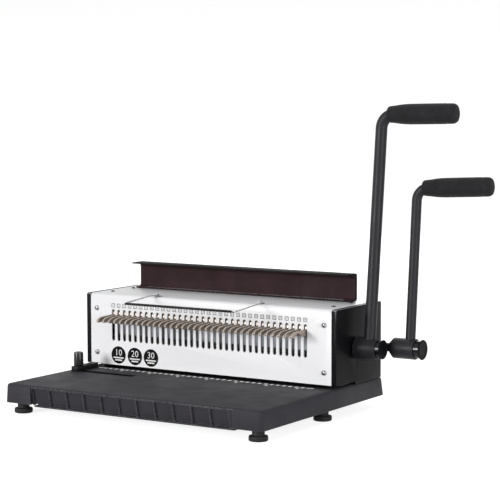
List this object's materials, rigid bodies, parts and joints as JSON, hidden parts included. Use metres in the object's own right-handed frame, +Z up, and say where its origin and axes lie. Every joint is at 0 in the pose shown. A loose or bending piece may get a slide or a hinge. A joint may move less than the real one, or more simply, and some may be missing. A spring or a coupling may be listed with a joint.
{
  "type": "coil binding machine",
  "caption": "Desk-top punching and closing machine for wire and coil: white slotted housing with pull hooks on a wide tray, black closing channel on top, two side levers.",
  "frame": {"origin": "centre of the bounding box in plan, on the plane that the feet stand on", "axes": "+X along the row of holes towards the levers, +Y from the tray's front edge to the back, +Z up"},
  "size_m": [0.5192, 0.284, 0.3679],
  "materials": {
    "tray_moulding": "fine matt texture",
    "foot_rubber": "matt",
    "white_panel": "satin white paint on folded sheet",
    "black_sheet": "satin black paint",
    "tool_steel": "ground and oiled",
    "hook_metal": "stamped plates, satin",
    "lever_paint": "satin dark grey paint",
    "grip_rubber": "matt foam rubber",
    "bright_wire": "bright plated",
    "black_plastic": "matt"
  },
  "bodies": {
    "machine": {"base_tray": "tray_moulding", "foot_front_left": "foot_rubber", "foot_front_right": "foot_rubber", "foot_middle_left": "foot_rubber", "foot_middle_right": "foot_rubber", "foot_rear_left": "foot_rubber", "foot_rear_right": "foot_rubber", "housing_shell": "white_panel", "side_cover_left": "black_sheet", "side_cover_right": "black_sheet", "side_frame_left": "black_sheet", "side_frame_right": "black_sheet", "punch_die_block": "tool_steel", "guide_post_left": "tool_steel", "guide_post_right": "tool_steel", "return_spring_left": "tool_steel", "return_spring_right": "tool_steel", "closer_guide_plate": "tool_steel", "tie_bar_upper": "tool_steel", "tie_bar_lower": "tool_steel", "closing_channel": "black_sheet", "bail_knuckle_left": "bright_wire", "bail_knuckle_right": "bright_wire", "panel_screw_lower_left": "bright_wire", "panel_screw_lower_right": "bright_wire", "panel_screw_upper_left": "bright_wire", "panel_screw_upper_right": "bright_wire", "punch_bush_left": "tool_steel", "punch_bush_right": "tool_steel", "binding_bush_left": "tool_steel", "binding_bush_right": "tool_steel"},
    "punch_drive": {"punch_shaft": "tool_steel", "punch_shaft_collar": "tool_steel", "punch_lever_hub": "lever_paint", "punch_lever": "lever_paint", "punch_lever_grip": "grip_rubber"},
    "press": {"press_beam": "tool_steel", "punch_pin_row": "tool_steel", "hook_comb": "hook_metal", "press_rack_left": "tool_steel", "press_rack_right": "tool_steel"},
    "binding_drive": {"binding_shaft": "tool_steel", "binding_pinion_left": "tool_steel", "binding_pinion_right": "tool_steel", "binding_shaft_collar": "tool_steel", "binding_lever_hub": "lever_paint", "binding_lever": "lever_paint", "binding_lever_grip": "grip_rubber"},
    "closer": {"closer_bar": "tool_steel", "closer_rack_left": "tool_steel", "closer_rack_right": "tool_steel"},
    "bail": {"support_bail": "bright_wire", "bail_sleeve": "black_plastic"},
    "guide": {"edge_guide": "black_plastic", "guide_clamp_plate": "tool_steel"},
    "knob": {"edge_guide_knob": "black_plastic"},
    "drawer": {"chip_drawer": "tray_moulding"}
  },
  "joints": [
    {"name": "punch_lever_swing", "type": "hinge", "parent": "machine", "child": "punch_drive", "pos_m": [0.12176, 0.066, 0.0807], "axis": [1, 0, 0], "range_deg": [0, 80], "stiffness_Nm_per_rad": 1.2, "springref_deg": -22.92},
    {"name": "press_slide", "type": "slide", "parent": "machine", "child": "press", "axis": [0, 0, -1], "range_m": [-0.0001, 0.0113], "deforming": ["return_spring_left", "return_spring_right"]},
    {"name": "binding_lever_swing", "type": "hinge", "parent": "machine", "child": "binding_drive", "pos_m": [0.16351, 0.0888, 0.0807], "axis": [1, 0, 0], "range_deg": [0, 90], "stiffness_Nm_per_rad": 0.5, "springref_deg": -20.05},
    {"name": "closer_slide", "type": "slide", "parent": "machine", "child": "closer", "axis": [0, 0, 1], "range_m": [-0.0001, 0.019]},
    {"name": "bail_swing", "type": "hinge", "parent": "machine", "child": "bail", "pos_m": [-0.07834, 0.0225, 0.1322], "axis": [-1, 0, 0], "range_deg": [0, 170]},
    {"name": "edge_guide_slide", "type": "slide", "parent": "machine", "child": "guide", "axis": [1, 0, 0], "range_m": [0, 0.075]},
    {"name": "guide_knob_turn", "type": "hinge", "parent": "guide", "child": "knob", "pos_m": [-0.24204, -0.0207, 0.05], "axis": [0, 0, 1], "range_deg": [0, 360]},
    {"name": "chip_drawer_slide", "type": "slide", "parent": "machine", "child": "drawer", "axis": [0, -1, 0], "range_m": [0, 0.15]}
  ],
  "couplings": [
    {"joint": "press_slide", "follows": "punch_lever_swing", "m_per_rad": 0.008},
    {"joint": "closer_slide", "follows": "binding_lever_swing", "m_per_rad": 0.012}
  ]
}
